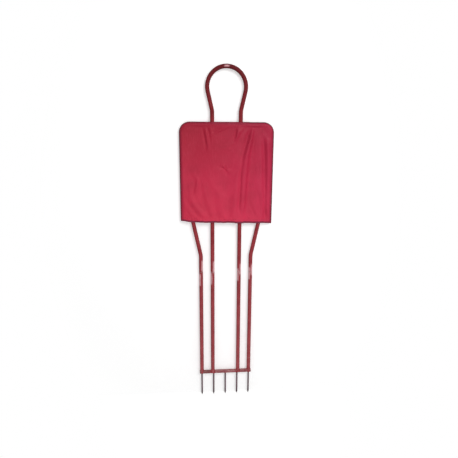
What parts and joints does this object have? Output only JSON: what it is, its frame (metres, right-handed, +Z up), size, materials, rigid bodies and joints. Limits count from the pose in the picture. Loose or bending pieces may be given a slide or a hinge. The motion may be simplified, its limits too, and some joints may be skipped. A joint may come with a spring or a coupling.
{
  "type": "free-kick training mannequin",
  "caption": "Life-size football free-kick mannequin: red steel-tube frame with a head hoop, a pull-over cloth vest and ground spikes under a base bar.",
  "frame": {"origin": "on the middle spike's axis at ground level, where its straight shank leaves the weld under the base bar", "axes": "+Z up along the legs, +X along the base bar to the part's left as it faces you (the picture's right), -Y the front"},
  "size_m": [0.4996, 0.033, 1.888],
  "materials": {
    "frame_paint": "gloss red enamel, rubbed at the plug joints",
    "spike_steel": "thin worn red over dull grey-brown steel",
    "bare_steel": "bare drawn steel",
    "vest_cloth": "crimson satin-faced polyester",
    "vest_binding": "dark crimson woven edge tape"
  },
  "bodies": {
    "leg_frame": {"base_bar": "frame_paint", "bar_end_plate_left": "frame_paint", "bar_end_plate_right": "frame_paint", "leg_outer_left": "frame_paint", "leg_inner_left": "frame_paint", "leg_inner_right": "frame_paint", "leg_outer_right": "frame_paint", "spigot_outer_left": "bare_steel", "spigot_inner_left": "bare_steel", "spigot_inner_right": "bare_steel", "spigot_outer_right": "bare_steel", "spike_outer_left": "spike_steel", "spike_inner_left": "spike_steel", "spike_middle": "spike_steel", "spike_inner_right": "spike_steel", "spike_outer_right": "spike_steel", "leg_welds": "frame_paint", "spike_welds": "frame_paint"},
    "torso_frame": {"head_hoop": "frame_paint", "side_tube_left": "frame_paint", "side_tube_right": "frame_paint", "neck_bar": "frame_paint", "waist_rung_left": "frame_paint", "waist_rung_middle": "frame_paint", "waist_rung_right": "frame_paint", "rung_welds": "frame_paint", "neck_bar_welds": "frame_paint", "shoulder_welds": "frame_paint"},
    "vest": {"vest_front_panel": "vest_cloth", "vest_back_panel": "vest_cloth", "hem_front": "vest_cloth", "hem_back": "vest_cloth", "neck_hem_front": "vest_cloth", "neck_hem_back": "vest_cloth", "edge_binding_left": "vest_binding", "edge_binding_right": "vest_binding"}
  },
  "joints": [
    {"name": "torso_lift", "type": "slide", "parent": "leg_frame", "child": "torso_frame", "axis": [0, 0, 1], "range_m": [0, 0.085]},
    {"name": "vest_lift", "type": "slide", "parent": "torso_frame", "child": "vest", "axis": [0, 0, 1], "range_m": [0, 0.87]}
  ]
}
